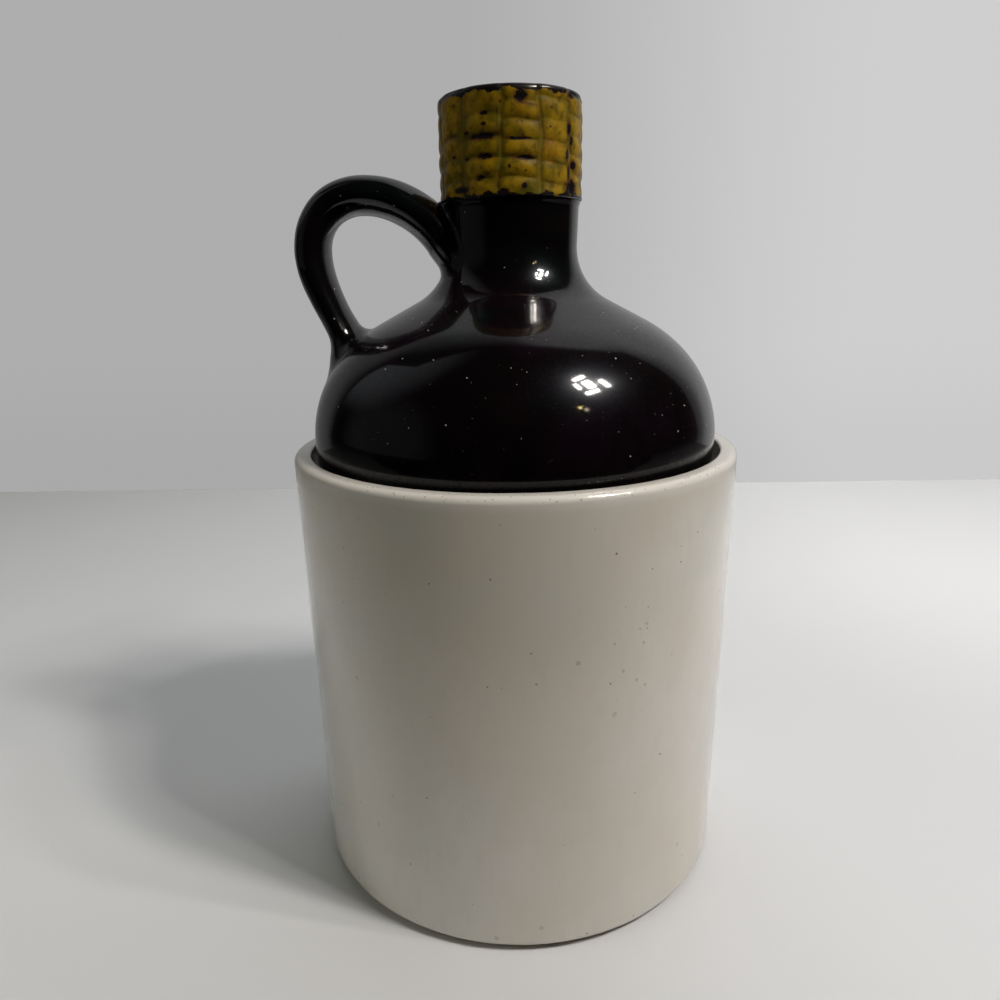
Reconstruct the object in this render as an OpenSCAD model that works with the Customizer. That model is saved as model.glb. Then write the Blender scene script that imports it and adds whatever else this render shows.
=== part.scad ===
// A stoneware storage jar in the form of a shoulder jug, in millimetres.
// The straight crock holds the goods. The jug's shoulder and neck lift off it as a lid,
// by the handle that is luted to them, and a glazed corncob stops the neck.
// The origin is on the axis under the foot, +Z is up, the handle points along -X
// and the front faces -Y.

/* [Crock] */
// Outer radius of the crock at the rim
crock_r = 82.5; // [76:0.5:92]
// Height from the foot to the rim
crock_h = 162.6; // [120:0.2:220]
// How much the outer radius shrinks from the rim to the heel
crock_taper = 2.3; // [0:0.1:5]
// Thickness of the wall between the gallery and the floor
crock_wall = 7; // [5.5:0.1:8.5]
// Thickness of the floor over the foot recess
crock_floor = 8; // [6:0.5:14]
// Radius of the fillet between the inside wall and the floor
corner_r = 12; // [4:0.5:20]

/* [Rim and gallery] */
// Thickness of the wall at the mouth
rim_wall = 6.1; // [4.5:0.1:7.5]
// Rounding of the rim's outer edge
rim_edge_r = 2.4; // [0.6:0.1:2.8]
// Rounding of the rim's inner edge
mouth_edge_r = 0.8; // [0.3:0.1:1.4]
// Depth of the ledge below the rim
ledge_depth = 10; // [7:0.5:16]
// Width of the ledge that carries the lid
ledge_w = 5; // [4:0.1:7]
// Height of the thick band under the ledge
gallery_h = 8; // [4:0.5:16]
// Height over which the band thins back to the wall
gallery_fade_h = 9; // [4:0.5:16]

/* [Foot] */
// Rounding of the heel, where the glaze stops
heel_r = 3; // [1.5:0.1:5]
// How far the bare foot is set back under the heel
foot_step = 0.8; // [0.3:0.1:2]
// Height of the bare foot
foot_h = 1.5; // [0.8:0.1:3]
// Width of the ring that the crock stands on
foot_w = 10; // [6:0.5:16]
// Depth of the recess inside the foot ring
foot_recess = 1.2; // [0.6:0.1:3]

/* [Lid] */
// Radial gap between the lid and the crock's mouth
lid_gap = 1.9; // [1:0.1:3]
// Thickness of the lid's shell
lid_wall = 5; // [4:0.1:6.5]
// Height of the lid's widest ring above the rim
belt_rise = 4; // [2:0.5:7]
// How far the lid draws in from its widest ring down to its seat
seat_tuck = 1.2; // [0.6:0.1:2]
// Radius of the shell's curve above the widest ring
flank_r = 44.5; // [40:0.5:50]
// Radius of the flatter curve over the shoulder
shoulder_r = 55.5; // [51:0.5:64]
// Angle from the widest ring to where the flatter curve starts
flank_turn = 46; // [40:1:52]
// Slope of the shoulder just below the neck
shoulder_slope = 28; // [26:0.5:34]

/* [Locating flange] */
// Radial gap between the flange and the inside of the ledge
flange_gap = 0.8; // [0.5:0.1:1.5]
// How far the flange reaches below the ledge
flange_h = 8; // [5:0.5:12]
// Thickness of the flange
flange_wall = 5; // [4:0.1:6]

/* [Neck] */
// Outer radius of the neck
neck_r = 23.4; // [21:0.1:26]
// Radius of the sweep from the shoulder into the neck
neck_sweep_r = 21; // [16:0.5:24]
// Height of the neck above that sweep
neck_h = 13; // [9:0.5:20]
// How much the neck widens towards the collar
neck_flare = 0.6; // [0:0.1:1.2]
// Outer radius of the collar that the stopper sits on
collar_r = 24.5; // [24.4:0.1:28]
// Height of the sloping underside of the collar
collar_slope_h = 1.3; // [1:0.1:7]
// Height of the collar's upright edge
collar_lip_h = 0.6; // [0.4:0.1:2]
// Rounding of the bore's edge at the collar
bore_edge_r = 1; // [0.4:0.1:1.6]

/* [Handle] */
// How far the foot of the handle lies in from the lid's widest ring
foot_inset = 14.5; // [11:0.5:17]
// How far the handle bulges out past its foot
handle_bulge = 12; // [9:0.1:15]
// Height of the outermost point above the foot
bulge_rise = 33.5; // [26:0.5:40]
// How far below the collar's top the handle leaves the neck
root_drop = 12.5; // [9.5:0.5:16]
// Angle at which the handle leaves the neck, up from level
root_angle = 53.5; // [48:0.5:58]
// How long the handle keeps that angle before it bends over
root_pull = 29; // [24:0.5:33]
// How far the crown's bend pulls up from the outermost point
crown_pull = 23.5; // [20:0.5:27]
// How far the outer side runs down from the outermost point
side_pull = 12.5; // [9:0.5:16]
// How far the lower run follows its angle out of the foot
foot_pull = 8; // [5:0.5:12]
// Angle at which the handle leaves the shoulder, up from level
foot_angle = 69; // [62:1:76]
// Thickness at the neck, seen from the front
root_t = 15.6; // [12:0.1:17]
// Thickness over the crown, seen from the front
crown_t = 12.7; // [11:0.1:15]
// Thickness of the lower run, seen from the front
side_t = 10.2; // [9:0.1:14]
// Thickness where the foot spreads on the shoulder
foot_t = 14; // [11:0.5:18]
// Width from front to back over most of the loop
handle_w = 21; // [16:0.5:24]
// Width from front to back where it meets the neck
root_w = 29; // [22:0.5:30]
// Width from front to back where it meets the shoulder
joint_w = 25; // [20:0.5:30]
// Gap that stands for the film of slip in the luted joints
slip_gap = 0.1; // [0.05:0.05:0.2]

/* [Corncob stopper] */
// Radius over the crowns of the kernels
cob_r = 25.1; // [23.5:0.1:27]
// Height of the cob above the collar
cob_h = 33.9; // [26:0.1:50]
// Depth of the grooves between the kernels
kernel_relief = 0.9; // [0.6:0.1:2]
// Height from one kernel to the next in a column
kernel_pitch = 6.1; // [5:0.1:9]
// Number of columns of kernels
kernel_columns = 12; // [10:1:16]
// Angle from the handle's far side round to the first groove
kernel_turn = 8; // [-15:1:15]
// Rounding of the cob's top edge
cob_edge_r = 1.8; // [1.2:0.1:5]
// Rounding of the cob's bottom edge
cob_hem_r = 0.7; // [0.4:0.1:2.5]
// Thickness of the cob's shell
cob_wall = 5; // [4:0.1:7]
// Clearance between the cob and the handle beside it
cob_gap = 0.4; // [0.2:0.1:1]
// Length of the plug below the collar's top
plug_l = 14; // [10:0.5:24]
// Radial gap between the plug and the neck's bore
plug_gap = 0.5; // [0.3:0.1:0.8]
// Thickness of the plug's wall
plug_wall = 4.5; // [3.5:0.1:6]
// Rounding of the plug's lower edge
plug_edge_r = 1.5; // [0.6:0.1:2.5]

/* [Hidden] */
$fn = 180;
// Steps along one arc of an outline
arc_steps = 10;
// Rings along each half of the handle, and points round one ring
handle_steps = 14;
handle_sides = 28;
// Steps of the cob's skin across and along one kernel
kernel_steps = 5;
// Share of the pitch by which each column of kernels in turn is raised
stagger_shares = [0.8, 0.38, 0.98, 0.1, 0.16, 0.4, 0, 0.6, 0.2, 0.8, 0.4, 0];
// Share of the lower run over which the foot of the handle spreads
foot_spread_share = 0.45;
// Share of the upper run over which the handle widens into the neck
root_spread_share = 0.5;
// How far a skin that only cuts at its sides runs past the solid
cut_over = 0.5;
glaze_white = [0.86, 0.84, 0.79];
glaze_black = [0.07, 0.04, 0.04];
glaze_corn = [0.66, 0.47, 0.08];

// Places of the crock, up from the foot
heel_out_r = crock_r - crock_taper;
foot_out_r = heel_out_r - heel_r - foot_step;
foot_in_r = foot_out_r - foot_w;
floor_z = foot_recess + crock_floor;
mouth_r = crock_r - rim_wall;
ledge_z = crock_h - ledge_depth;
gallery_r = mouth_r - ledge_w;
fade_z = ledge_z - gallery_h - gallery_fade_h;

// Places of the lid, up from its flange
lid_r = mouth_r - lid_gap;
flange_r = gallery_r - flange_gap;
flange_z = ledge_z - flange_h;
seat_r = lid_r - seat_tuck;
belt_z = crock_h + belt_rise;
flank_c = [lid_r - flank_r, belt_z];
shoulder_c = flank_c + (flank_r - shoulder_r) * turn(flank_turn);
slope_turn = 90 - shoulder_slope;
slope_top = shoulder_c + shoulder_r * turn(slope_turn);
sweep_in_r = neck_r + neck_sweep_r * (1 - cos(slope_turn));
sweep_in_z = slope_top.y + (slope_top.x - sweep_in_r) * tan(shoulder_slope);
sweep_c = [neck_r + neck_sweep_r, sweep_in_z + neck_sweep_r * sin(slope_turn)];
collar_base_z = sweep_c.y + neck_h;
collar_edge_z = collar_base_z + collar_slope_h;
collar_z = collar_edge_z + collar_lip_h;
bore_r = neck_r - lid_wall;
plug_r = bore_r - plug_gap;
cob_top_z = collar_z + cob_h;

function turn(a) = [cos(a), sin(a)];
function arc(c, r, from, to) = [for (i = [0:arc_steps]) c + r * turn(from + (to - from) * i / arc_steps)];
function inner_wall_r(z) = heel_out_r + crock_taper * z / crock_h - crock_wall;

// The shell's curve from its widest ring to the foot of the neck, moved in by the given depth
function shell_curve(depth) = concat(
    arc(flank_c, flank_r - depth, 0, flank_turn),
    arc(shoulder_c, shoulder_r - depth, flank_turn, slope_turn),
    arc(sweep_c, neck_sweep_r + depth, 180 + slope_turn, 180)
);

// Height of the lid's outer skin at a radius that lies on one of its two curves
function skin_z(r) = r > (flank_c + flank_r * turn(flank_turn)).x
    ? flank_c.y + sqrt(flank_r ^ 2 - (r - flank_c.x) ^ 2)
    : shoulder_c.y + sqrt(shoulder_r ^ 2 - (r - shoulder_c.x) ^ 2);

module crock() {
    wall_foot_z = floor_z + corner_r;
    color(glaze_white) rotate_extrude() polygon(concat(
        [[0, foot_recess], [foot_in_r, foot_recess], [foot_in_r, 0], [foot_out_r, 0], [foot_out_r, foot_h]],
        arc([heel_out_r - heel_r, foot_h + heel_r], heel_r, -90, 0),
        arc([crock_r - rim_edge_r, crock_h - rim_edge_r], rim_edge_r, 0, 90),
        arc([mouth_r + mouth_edge_r, crock_h - mouth_edge_r], mouth_edge_r, 90, 180),
        [[mouth_r, ledge_z], [gallery_r, ledge_z], [gallery_r, ledge_z - gallery_h]],
        [[inner_wall_r(fade_z), fade_z]],
        arc([inner_wall_r(wall_foot_z) - corner_r, wall_foot_z], corner_r, 0, -90),
        [[0, floor_z]]
    ));
}

// The lid's outer outline from the seat on the ledge to the collar's lip
function lid_skin() = concat(
    [[seat_r, ledge_z]],
    shell_curve(0),
    [[neck_r + neck_flare, collar_base_z], [collar_r, collar_edge_z], [collar_r, collar_z]]
);

module lid() {
    bore_mouth = arc([bore_r + bore_edge_r, collar_z - bore_edge_r], bore_edge_r, 90, 180);
    inside = shell_curve(lid_wall);
    color(glaze_black) rotate_extrude() polygon(concat(
        [[flange_r - flange_wall, flange_z], [flange_r, flange_z], [flange_r, ledge_z]],
        lid_skin(),
        bore_mouth,
        [for (i = [len(inside) - 1:-1:0]) inside[i]],
        [[flange_r - flange_wall, ledge_z]]
    ));
}

// Everything inside the lid's skin, grown by the film of slip, and the cob's way up past the handle
module lid_envelope() {
    skin = lid_skin();
    cob_way_r = cob_r + cob_gap;
    rotate_extrude() polygon(concat(
        [[0, ledge_z]],
        [for (p = skin) p + [slip_gap, 0]],
        [[cob_way_r, collar_z], [cob_way_r, cob_top_z], [0, cob_top_z]]
    ));
}

// The handle's centre line lies in the plane of X and Z, and is given as [radius, height]
handle_foot = [lid_r - foot_inset, skin_z(lid_r - foot_inset)];
handle_side = handle_foot + [handle_bulge, bulge_rise];
handle_root = [neck_r, collar_z - root_drop];
upper_run = [handle_root, handle_root + root_pull * turn(root_angle), handle_side + [0, crown_pull], handle_side];
lower_run = [handle_side, handle_side - [0, side_pull], handle_foot + foot_pull * turn(foot_angle), handle_foot];

function bezier(p, t) = (1 - t) ^ 3 * p[0] + 3 * t * (1 - t) ^ 2 * p[1] + 3 * t ^ 2 * (1 - t) * p[2] + t ^ 3 * p[3];
function bezier_way(p, t) = (1 - t) ^ 2 * (p[1] - p[0]) + 2 * t * (1 - t) * (p[2] - p[1]) + t ^ 2 * (p[3] - p[2]);
function mix(a, b, t) = a + (b - a) * t;
function spread(t, share) = max(0, 1 - t / share) ^ 2;

// One ring of the handle: its centre, its direction, its thickness and its width
function upper_ring(t) = [
    bezier(upper_run, t),
    bezier_way(upper_run, t),
    mix(root_t, crown_t, sqrt(t)),
    handle_w + (root_w - handle_w) * spread(t, root_spread_share)
];
function lower_ring(t) = [
    bezier(lower_run, t),
    bezier_way(lower_run, t),
    mix(crown_t, side_t, t) + (foot_t - side_t) * spread(1 - t, foot_spread_share),
    handle_w + (joint_w - handle_w) * spread(1 - t, foot_spread_share)
];
function sunk(ring, depth) = [ring[0] + depth * ring[1] / norm(ring[1]), ring[1], ring[2], ring[3]];
function ring_points(ring) = [
    for (j = [0:handle_sides - 1])
        let (
            across = [-ring[1].y, ring[1].x] / norm(ring[1]),
            a = 360 * j / handle_sides,
            p = ring[0] + across * ring[2] / 2 * cos(a)
        ) [-p.x, ring[3] / 2 * sin(a), p.y]
];

// A closed tube through rings of the same number of points, each end a fan about its centre
function centre(ring) = [for (p = ring) 1] * ring / len(ring);
module tube(rings) {
    n = len(rings[0]);
    last = len(rings) - 1;
    start_c = len(rings) * n;
    walls = [
        for (i = [0:last - 1], j = [0:n - 1])
            let (a = i * n + j, b = i * n + (j + 1) % n)
                each [[a, a + n, b + n], [a, b + n, b]]
    ];
    ends = [
        for (j = [0:n - 1])
            let (next = (j + 1) % n)
                each [[start_c, j, next], [start_c + 1, last * n + next, last * n + j]]
    ];
    points = concat([for (ring = rings) each ring], [centre(rings[0]), centre(rings[last])]);
    polyhedron(points, concat(walls, ends));
}

module handle() {
    rings = concat(
        [sunk(upper_ring(0), -root_t)],
        [for (i = [0:handle_steps]) upper_ring(i / handle_steps)],
        [for (i = [1:handle_steps]) lower_ring(i / handle_steps)],
        [sunk(lower_ring(1), foot_t)]
    );
    color(glaze_black) difference() {
        tube([for (ring = rings) ring_points(ring)]);
        lid_envelope();
    }
}

// Rise of a kernel over its grooves: 0 in a groove, 1 on the crown
function swell(u) = 1 - abs(2 * (u - floor(u)) - 1) ^ 4;
function stagger(column) = stagger_shares[column % len(stagger_shares)];
function edge_cut(r, past) = past > 0 ? r - sqrt(r ^ 2 - min(past, r) ^ 2) : 0;
function cob_skin_r(u, z) = cob_r
    - edge_cut(cob_edge_r, z - (cob_h - cob_edge_r))
    - edge_cut(cob_hem_r, cob_hem_r - z)
    - kernel_relief * (1 - swell(u) * swell(z / kernel_pitch + stagger(floor(u) % kernel_columns)));

// The skin runs past the stopper at both ends, so that only its sides cut
module cob_skin() {
    sides = kernel_columns * kernel_steps;
    step_h = kernel_pitch / kernel_steps;
    steps = round(cob_h / step_h) - 1;
    levels = concat([-plug_l - cut_over, -cut_over], [for (i = [1:steps]) i * step_h], [cob_h + cut_over]);
    tube([
        for (z = levels) [
            for (j = [0:sides - 1])
                let (r = cob_skin_r(j / kernel_steps, min(max(z, 0), cob_h)), a = -kernel_turn - 360 * j / sides)
                    [r * cos(a), r * sin(a), collar_z + z]
        ]
    ]);
}

module corncob_stopper() {
    plug_bore = plug_r - plug_wall;
    plug_z = collar_z - plug_l;
    hollow_r = cob_r - kernel_relief - cob_wall;
    hollow_base_z = collar_z + cob_wall;
    hollow_top_z = cob_top_z - cob_wall;
    color(glaze_corn) intersection() {
        cob_skin();
        rotate_extrude() polygon(concat(
            [[plug_bore, plug_z]],
            arc([plug_r - plug_edge_r, plug_z + plug_edge_r], plug_edge_r, -90, 0),
            [[plug_r, collar_z], [cob_r + cut_over, collar_z], [cob_r + cut_over, cob_top_z], [0, cob_top_z]],
            [[0, hollow_top_z]],
            arc([hollow_r - cob_edge_r, hollow_top_z - cob_edge_r], cob_edge_r, 90, 0),
            [[hollow_r, hollow_base_z + hollow_r - plug_bore], [plug_bore, hollow_base_z]]
        ));
    }
}

crock();
lid();
handle();
corncob_stopper();
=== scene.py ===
"""A lidded stoneware storage jar in the form of a shoulder jug, with all lengths in metres."""
import math
import random
from functools import partial

import bpy
import numpy as np
from mathutils import Matrix, Vector, noise


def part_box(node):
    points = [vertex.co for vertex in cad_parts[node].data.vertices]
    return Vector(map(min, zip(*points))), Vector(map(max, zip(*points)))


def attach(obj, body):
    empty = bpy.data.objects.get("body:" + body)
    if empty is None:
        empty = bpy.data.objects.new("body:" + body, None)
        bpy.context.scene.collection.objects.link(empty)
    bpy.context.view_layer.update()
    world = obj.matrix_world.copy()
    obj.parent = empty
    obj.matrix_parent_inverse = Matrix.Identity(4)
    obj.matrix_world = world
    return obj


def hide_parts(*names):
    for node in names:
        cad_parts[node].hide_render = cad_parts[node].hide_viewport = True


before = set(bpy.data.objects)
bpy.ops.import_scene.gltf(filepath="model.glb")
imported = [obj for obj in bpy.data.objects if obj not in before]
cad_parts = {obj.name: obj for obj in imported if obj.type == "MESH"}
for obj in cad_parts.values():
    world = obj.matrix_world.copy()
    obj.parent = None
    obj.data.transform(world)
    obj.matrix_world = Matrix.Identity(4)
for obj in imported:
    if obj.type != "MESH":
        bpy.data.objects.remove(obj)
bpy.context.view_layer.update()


# The camera
# It stands as the photograph's did: a little above the jar's shoulder, about 0.29 m from
# its axis, looking down on it and leaning a degree to one side.
photo_px = 1000
focal_px = 768.36
sensor_w = 36.0
camera_place = Vector((0, -0.2919, 0.2210))
camera_yaw = 0.0201
camera_dip = 0.2741
camera_roll = -0.018

camera_data = bpy.data.cameras.new("camera")
camera_data.sensor_width = sensor_w
camera_data.lens = focal_px / photo_px * sensor_w
camera_data.clip_start = 0.01
camera = bpy.data.objects.new("camera", camera_data)
camera.matrix_world = (
    Matrix.Translation(camera_place)
    @ Matrix.Rotation(camera_yaw, 4, "Z")
    @ Matrix.Rotation(math.pi / 2 - camera_dip, 4, "X")
    @ Matrix.Rotation(camera_roll, 4, "Z")
)
bpy.context.scene.collection.objects.link(camera)
bpy.context.scene.camera = camera


# The crock
# Off-white stoneware, shaped in a mould on the wheel, dipped in clear glaze and wiped bare
# where it stands. A ledge inside its mouth carries the lid.
crock_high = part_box("crock")[1]
crock_r = crock_high.x
crock_h = crock_high.z
crock_taper = 0.0023
crock_wall = 0.007
rim_wall = 0.0061
ledge_depth = 0.010
ledge_w = 0.005
gallery_h = 0.008
gallery_fade_h = 0.009
gallery_soft_r = 0.003
fade_soft_r = 0.012
floor_t = 0.008
corner_r = 0.012
heel_r = 0.003
foot_step = 0.0008
foot_h = 0.0015
foot_w = 0.010
foot_recess = 0.0012
rim_edge_r = 0.0024
mouth_edge_r = 0.0010
ledge_edge_r = 0.0007
foot_edge_r = 0.0005
oval_depth = 0.00016
oval_turn = 0.9
three_lobe_depth = 0.00007
three_lobe_turn = -0.4
wheel_wave = 0.022
wheel_wave_depth = 0.00012
corner_step_degrees = 11

heel_out_r = crock_r - crock_taper
foot_out_r = heel_out_r - heel_r - foot_step
foot_in_r = foot_out_r - foot_w
floor_z = foot_recess + floor_t
mouth_r = crock_r - rim_wall
ledge_z = crock_h - ledge_depth
gallery_r = mouth_r - ledge_w
fade_z = ledge_z - gallery_h - gallery_fade_h


def arc(x, z, radius, start, end, steps=16):
    """Points round (x, z) from the start angle to the end angle, in degrees, with no rounding."""
    turns = [math.radians(start + (end - start) * i / steps) for i in range(steps + 1)]
    return [(x + radius * math.cos(a), z + radius * math.sin(a), 0) for a in turns]


def soften(corners):
    """The outline through corners (x, z, rounding), where an arc takes the place of each rounded one."""
    outline = []
    for i, (x, z, radius) in enumerate(corners):
        here = Vector((x, z))
        if not radius:
            outline.append(here)
            continue
        before = Vector(corners[i - 1][:2])
        after = Vector(corners[(i + 1) % len(corners)][:2])
        into = (here - before).normalized()
        out = (after - here).normalized()
        bend = math.atan2(into.x * out.y - into.y * out.x, into.dot(out))
        reach = radius * math.tan(abs(bend) / 2)
        side = Vector((-into.y, into.x)) * math.copysign(radius, bend)
        middle = here - into * reach + side
        steps = max(3, round(math.degrees(abs(bend)) / corner_step_degrees))
        for k in range(steps + 1):
            outline.append(middle + Matrix.Rotation(bend * k / steps, 2) @ -side)
    return outline


def subdivide(outline, longest, closed=False):
    """Adds points to the outline, so that no step along it is longer than longest."""
    pairs = list(zip(outline, outline[1:] + outline[:1]))
    if not closed:
        pairs.pop()
    fine = []
    for a, b in pairs:
        steps = max(1, math.ceil((b - a).length / longest))
        fine += [a.lerp(b, k / steps) for k in range(steps)]
    return fine if closed else fine + [outline[-1]]


def skin_object(name, vertices, faces):
    """A smooth-shaded object of the given mesh."""
    mesh = bpy.data.meshes.new(name)
    mesh.from_pydata(vertices, [], faces)
    mesh.polygons.foreach_set("use_smooth", [True] * len(faces))
    mesh.update()
    piece = bpy.data.objects.new(name, mesh)
    bpy.context.scene.collection.objects.link(piece)
    return piece


def skin_rings(name, points, tips=()):
    """An object through rings of points, closed by two tips, or into a loop if none are given."""
    count, sides = points.shape[:2]
    vertices = points.reshape(-1, 3).tolist()
    faces = []
    for i in range(count - 1 if tips else count):
        above = (i + 1) % count
        for j in range(sides):
            k = (j + 1) % sides
            faces.append((i * sides + j, i * sides + k, above * sides + k, above * sides + j))
    for tip, ring in zip(tips, (0, count - 1)):
        for j in range(sides):
            k = (j + 1) % sides
            turn = (j, k) if ring else (k, j)
            faces.append((ring * sides + turn[0], ring * sides + turn[1], len(vertices)))
        vertices.append(tip)
    return skin_object(name, vertices, faces)


def lathe(name, outline, sides, push, closed=False):
    """Turns an outline that runs up the outside and down the inside round the axis.

    push(angle, radius, height) gives how far each point is pushed out from the axis.
    An open outline starts and ends on the axis.
    """
    rings = np.array(outline if closed else outline[1:-1])
    tips = [] if closed else [(0, 0, pole[1]) for pole in (outline[0], outline[-1])]
    angle = np.linspace(0, 2 * math.pi, sides, endpoint=False)[None, :]
    radius = np.repeat(rings[:, :1], sides, axis=1)
    height = np.repeat(rings[:, 1:], sides, axis=1)
    radius = radius + push(angle + 0 * radius, radius, height)
    points = np.stack([radius * np.cos(angle), radius * np.sin(angle), height], axis=2)
    return skin_rings(name, points, tips)


def ripple(angle, radius, height, size, depth):
    """The soft unevenness of a fired surface, with waves of about the given size."""
    places = np.stack([radius * np.cos(angle), radius * np.sin(angle), height], axis=-1) / size
    waves = [noise.noise(Vector(p)) for p in places.reshape(-1, 3)]
    return depth * np.array(waves).reshape(radius.shape)


def crock_push(angle, radius, height):
    """The crock is a hair out of round, and its wall keeps faint waves from the wheel."""
    oval = oval_depth * np.cos(2 * angle + oval_turn)
    lobes = three_lobe_depth * np.cos(3 * angle + three_lobe_turn)
    share = np.clip(radius / crock_r, 0, 1)
    return share * (oval + lobes + ripple(angle, radius, height, wheel_wave, wheel_wave_depth))


def inner_wall_r(height):
    """Radius of the crock's inside at a height."""
    return heel_out_r + crock_taper * height / crock_h - crock_wall


crock_outline = soften([
    (0, foot_recess, 0),
    (foot_in_r, foot_recess, foot_edge_r),
    (foot_in_r, 0, foot_edge_r),
    (foot_out_r, 0, foot_edge_r),
    (foot_out_r, foot_h, foot_edge_r / 2),
    (heel_out_r, foot_h, heel_r),
    (crock_r, crock_h, rim_edge_r),
    (mouth_r, crock_h, mouth_edge_r),
    (mouth_r, ledge_z, mouth_edge_r),
    (gallery_r, ledge_z, ledge_edge_r),
    (gallery_r, ledge_z - gallery_h, gallery_soft_r),
    (inner_wall_r(fade_z), fade_z, fade_soft_r),
    (inner_wall_r(floor_z), floor_z, corner_r),
    (0, floor_z, 0),
])
crock = lathe("crock_body", subdivide(crock_outline, longest=0.003), sides=240, push=crock_push)


def node(tree, kind, sockets=None, **settings):
    """Adds a shader node, sets its properties, and then sets or links its input sockets."""
    made = tree.nodes.new("ShaderNode" + kind)
    for name, value in settings.items():
        setattr(made, name, value)
    for name, value in (sockets or {}).items():
        if isinstance(value, bpy.types.NodeSocket):
            tree.links.new(value, made.inputs[name])
        else:
            made.inputs[name].default_value = value
    return made


def calc(operation, first, second=0.0):
    """The result of one sum on two values. It joins the tree of the first socket among them."""
    tree = next(value.id_data for value in (first, second) if isinstance(value, bpy.types.NodeSocket))
    return node(tree, "Math", {0: first, 1: second}, operation=operation).outputs[0]


# Minus takes its second value from the first, most is the larger of two, and inverse turns a
# mask round, so that it is 1 where it was 0
times = partial(calc, "MULTIPLY")
plus = partial(calc, "ADD")
minus = partial(calc, "SUBTRACT")
most = partial(calc, "MAXIMUM")
inverse = partial(calc, "SUBTRACT", 1.0)


def smooth_step(value, low, high):
    """A mask that is 0 up to low and 1 from high."""
    sockets = {"Value": value, "From Min": low, "From Max": high}
    return node(value.id_data, "MapRange", sockets, interpolation_type="SMOOTHSTEP").outputs[0]


def lay_over(mask, under, over, strength=1.0):
    """The colour under, with the colour over where the mask is 1, laid on with the given strength."""
    if strength != 1.0:
        mask = times(mask, strength)
    return node(mask.id_data, "Mix", {0: mask, 6: under, 7: over}, data_type="RGBA").outputs[2]


def between(mask, at_none, at_full):
    """A value that goes from at_none to at_full with the mask."""
    sockets = {"Value": mask, "To Min": at_none, "To Max": at_full}
    return node(mask.id_data, "MapRange", sockets).outputs[0]


def start_group(name, inputs, outputs):
    """A new node group with its named sockets: the tree, what comes in and what goes out."""
    tree = bpy.data.node_groups.new(name, "ShaderNodeTree")
    for way, sockets in (("INPUT", inputs), ("OUTPUT", outputs)):
        for socket, kind in sockets.items():
            tree.interface.new_socket(name=socket, in_out=way, socket_type="NodeSocket" + kind)
    entry = tree.nodes.new("NodeGroupInput")
    leave = tree.nodes.new("NodeGroupOutput")
    return tree, entry.outputs, leave.inputs


def make_mottle_group():
    """Cloudy patches of about the given size. Low and High set how much of them shows."""
    inputs = {"Vector": "Vector", "Size": "Float", "Low": "Float", "High": "Float"}
    tree, given, result = start_group("mottle", inputs, {"Mask": "Float"})
    scale = calc("DIVIDE", 1.0, given["Size"])
    clouds = node(tree, "TexNoise", {"Vector": given["Vector"], "Scale": scale, "Detail": 3.0})
    mask = smooth_step(clouds.outputs[0], given["Low"], given["High"])
    tree.links.new(mask, result["Mask"])
    return tree


def make_speck_group():
    """Round specks of mixed size. Spacing is their distance, and Share how many places hold one."""
    smallest_share = 0.35
    hard_share = 0.6
    inputs = {"Vector": "Vector", "Spacing": "Float", "Share": "Float", "Radius": "Float"}
    tree, given, result = start_group("specks", inputs, {"Mask": "Float"})
    scale = calc("DIVIDE", 1.0, given["Spacing"])
    cells = node(tree, "TexVoronoi", {"Vector": given["Vector"], "Scale": scale})
    chance = node(tree, "SeparateColor", {"Color": cells.outputs["Color"]})
    distance = times(cells.outputs["Distance"], given["Spacing"])
    size = times(given["Radius"], between(chance.outputs[0], smallest_share, 1.0))
    outside = smooth_step(distance, times(size, hard_share), size)
    chosen = calc("LESS_THAN", chance.outputs[1], given["Share"])
    tree.links.new(times(inverse(outside), chosen), result["Mask"])
    return tree


def make_ragged_group():
    """A mask with a ragged edge where Value passes 0. Depth is how far the edge strays.

    The noise keeps to about a quarter on each side of its middle, and the gain spreads it to 1.
    """
    noise_middle = 0.5
    noise_gain = 4.0
    inputs = {"Vector": "Vector", "Value": "Float", "Size": "Float", "Depth": "Float", "Soft": "Float"}
    tree, given, result = start_group("ragged_edge", inputs, {"Mask": "Float"})
    scale = calc("DIVIDE", 1.0, given["Size"])
    sockets = {"Vector": given["Vector"], "Scale": scale, "Detail": 5.0, "Roughness": 0.62}
    stray = minus(node(tree, "TexNoise", sockets).outputs[0], noise_middle)
    stray = times(stray, times(given["Depth"], noise_gain))
    value = plus(given["Value"], stray)
    mask = smooth_step(value, times(given["Soft"], -1.0), given["Soft"])
    tree.links.new(mask, result["Mask"])
    return tree


def make_grain_group():
    """The height of a surface's fine grain, in metres, from coarse and fine bumps together."""
    inputs = {"Vector": "Vector", "Size": "Float", "Depth": "Float"}
    tree, given, result = start_group("grain", inputs, {"Height": "Float"})
    scale = calc("DIVIDE", 1.0, given["Size"])
    sockets = {"Vector": given["Vector"], "Scale": scale, "Detail": 4.0, "Roughness": 0.6}
    bumps = node(tree, "TexNoise", sockets).outputs[0]
    tree.links.new(times(bumps, given["Depth"]), result["Height"])
    return tree


def in_group(group, place, **values):
    """One use of a node group at a place on the piece, with a value for each of its other inputs."""
    sockets = {"Vector": place} | {name.title(): value for name, value in values.items()}
    return node(place.id_data, "Group", sockets, node_tree=group).outputs[0]


mottle = partial(in_group, make_mottle_group())
specks = partial(in_group, make_speck_group())
ragged = partial(in_group, make_ragged_group())
grain = partial(in_group, make_grain_group())


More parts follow.
